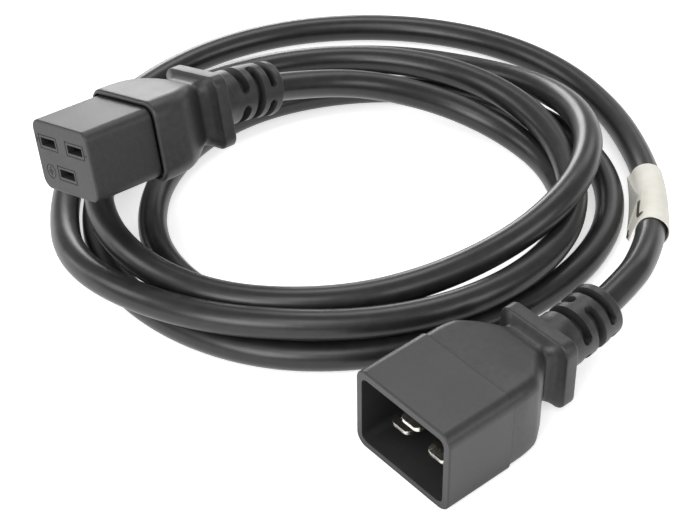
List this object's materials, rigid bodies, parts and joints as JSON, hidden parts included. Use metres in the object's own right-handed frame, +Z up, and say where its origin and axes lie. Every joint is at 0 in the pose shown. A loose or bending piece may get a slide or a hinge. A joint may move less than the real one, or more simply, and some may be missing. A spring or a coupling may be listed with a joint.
{
  "type": "power jumper cord",
  "caption": "Black mains jumper cord with an IEC C19 connector at one end and a C20 plug at the other, lying in loose loops with a cable label.",
  "frame": {"origin": "centre of the C19 connector's mating face, 40 mm above the table", "axes": "+X the way both connectors point, +Z up; the C19 is pitched 5 degrees nose up and rolled 17.4 degrees as it rests on its cord, and the C20 lies flat on the table, turned 0.8 degrees"},
  "size_m": [0.1917, 0.2099, 0.0537],
  "materials": {
    "hard_black": "hard nylon, fine satin",
    "soft_black": "soft moulded PVC, satin",
    "shroud_black": "hard moulded plastic, fine satin",
    "cable_black": "soft PVC sheath, satin",
    "contact_brass": "stamped",
    "pin_nickel": "nickel plated, polished",
    "bare_copper": "bright stranded",
    "core_brown": "smooth",
    "core_blue": "smooth",
    "core_green": "smooth, yellow stripe",
    "label_paper": "matt film"
  },
  "bodies": {
    "root": {"c19_contact_block": "hard_black", "c19_overmould": "soft_black", "c19_cable_end": "cable_black", "c20_shroud": "shroud_black", "c20_overmould": "soft_black", "c20_cable_end": "cable_black", "cord_sheath": "cable_black", "cable_label": "label_paper", "c19_line_contact": "contact_brass", "c19_line_core": "core_brown", "c19_line_strands": "bare_copper", "c20_line_pin": "pin_nickel", "c20_line_core": "core_brown", "c20_line_strands": "bare_copper", "c19_neutral_contact": "contact_brass", "c19_neutral_core": "core_blue", "c19_neutral_strands": "bare_copper", "c20_neutral_pin": "pin_nickel", "c20_neutral_core": "core_blue", "c20_neutral_strands": "bare_copper", "c19_earth_contact": "contact_brass", "c19_earth_core": "core_green", "c19_earth_strands": "bare_copper", "c20_earth_pin": "pin_nickel", "c20_earth_core": "core_green", "c20_earth_strands": "bare_copper"}
  },
  "joints": []
}
